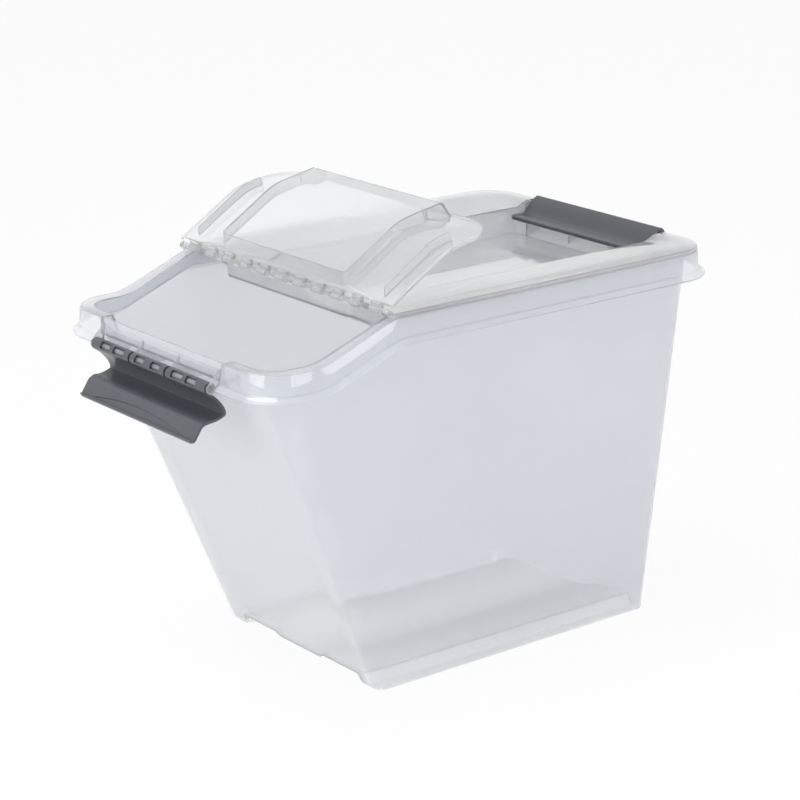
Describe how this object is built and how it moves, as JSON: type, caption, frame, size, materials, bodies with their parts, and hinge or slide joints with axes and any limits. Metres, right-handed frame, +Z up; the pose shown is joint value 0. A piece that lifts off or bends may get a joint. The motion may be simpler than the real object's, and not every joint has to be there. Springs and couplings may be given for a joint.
{
  "type": "rice bin",
  "caption": "Clear rice storage bin with a hinged flap at the front of its lid and a dark clip at each end.",
  "frame": {"origin": "middle of the object's footprint, on the surface it stands on", "axes": "+X across the bin to the right seen from the front, +Y to the rear, +Z up"},
  "size_m": [0.302, 0.4988, 0.3905],
  "materials": {
    "tub": "clear, slightly milky, glossy",
    "rear_lid": "clear, slightly milky, glossy",
    "front_flap": "clear, slightly milky, glossy",
    "front_clip": "smoke grey, glossy",
    "rear_clip": "smoke grey, glossy"
  },
  "bodies": {
    "bin": {"tub": "tub", "rear_lid": "rear_lid"},
    "flap": {"front_flap": "front_flap"},
    "front_latch": {"front_clip": "front_clip"},
    "rear_latch": {"rear_clip": "rear_clip"}
  },
  "joints": [
    {"name": "flap_hinge", "type": "hinge", "parent": "bin", "child": "flap", "pos_m": [0, -0.10603, 0.3282], "axis": [1, 0, 0], "range_deg": [0, 169.1]},
    {"name": "front_clip_hinge", "type": "hinge", "parent": "bin", "child": "front_latch", "pos_m": [0, -0.23103, 0.2787], "axis": [-1, 0, 0], "range_deg": [0, 233.4]},
    {"name": "rear_clip_hinge", "type": "hinge", "parent": "bin", "child": "rear_latch", "pos_m": [0, 0.24437, 0.3057], "axis": [-1, 0, 0], "range_deg": [0, 233.4]}
  ]
}
